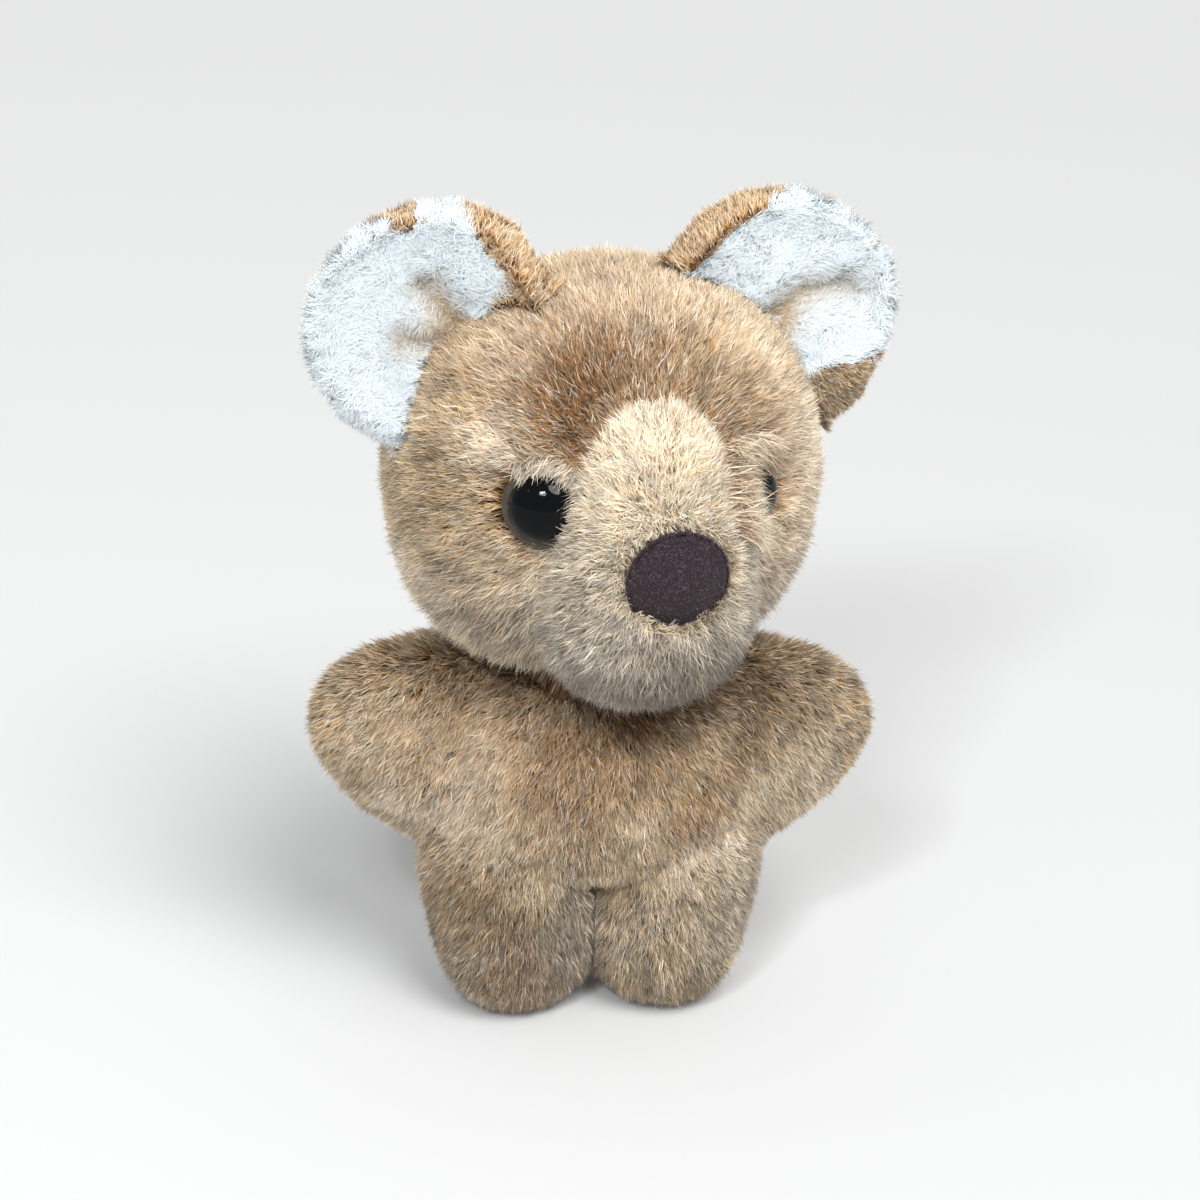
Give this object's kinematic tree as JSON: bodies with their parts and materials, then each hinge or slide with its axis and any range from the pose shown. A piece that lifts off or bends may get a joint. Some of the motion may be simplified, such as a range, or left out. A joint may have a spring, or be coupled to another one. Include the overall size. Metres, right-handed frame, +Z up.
{
  "type": "plush bear",
  "caption": "Small standing plush bear in tan pile fabric, with a lighter muzzle, a felt nose, glossy eyes and large round fleece-lined ears. Its head turns and nods.",
  "frame": {"origin": "under the middle of the whole bear's box, on the surface that it stands on", "axes": "+Z up, -Y the way the body faces, +X the bear's own left"},
  "size_m": [0.123, 0.0944, 0.1819],
  "materials": {
    "tan_pile": "silky pile, about 6 mm long",
    "cream_pile": "silky pile, about 6 mm long",
    "white_fleece": "curly fleece",
    "nose_felt": "dense felt",
    "stuffing": "loose fibre",
    "eye_black": "polished",
    "eye_rim": "polished, translucent",
    "washer": "moulded"
  },
  "bodies": {
    "torso": {"torso_cover": "tan_pile", "arm_left_cover": "tan_pile", "arm_right_cover": "tan_pile", "leg_left_cover": "tan_pile", "leg_right_cover": "tan_pile", "body_stuffing": "stuffing"},
    "neck": {"neck_stuffing": "stuffing"},
    "head": {"head_cover": "tan_pile", "muzzle_cover": "cream_pile", "head_stuffing": "stuffing", "nose_pad": "stuffing", "nose_patch": "nose_felt", "eye_left_iris_ring": "eye_rim", "eye_left_pupil_and_shank": "eye_black", "eye_left_lock_washer": "washer", "eye_right_iris_ring": "eye_rim", "eye_right_pupil_and_shank": "eye_black", "eye_right_lock_washer": "washer"},
    "ear_left": {"ear_left_back": "tan_pile", "ear_left_lining": "white_fleece"},
    "ear_right": {"ear_right_back": "tan_pile", "ear_right_lining": "white_fleece"}
  },
  "joints": [
    {"name": "head_turn", "type": "hinge", "parent": "torso", "child": "neck", "pos_m": [0.00032, 0.00699, 0.0885], "axis": [0, 0, 1], "range_deg": [-45, 25], "stiffness_Nm_per_rad": 0.3},
    {"name": "head_nod", "type": "hinge", "parent": "neck", "child": "head", "pos_m": [0.00032, 0.00699, 0.0885], "axis": [0.9877, 0.1564, 0], "range_deg": [-10, 10], "stiffness_Nm_per_rad": 0.3},
    {"name": "ear_left_flex", "type": "hinge", "parent": "head", "child": "ear_left", "pos_m": [0.03255, 0.0119, 0.15405], "axis": [0.6811, 0.0357, -0.7314], "range_deg": [-15, 15], "stiffness_Nm_per_rad": 0.05},
    {"name": "ear_right_flex", "type": "hinge", "parent": "head", "child": "ear_right", "pos_m": [-0.03235, 0.00039, 0.15329], "axis": [0.656, 0.0114, 0.7547], "range_deg": [-15, 15], "stiffness_Nm_per_rad": 0.05}
  ]
}
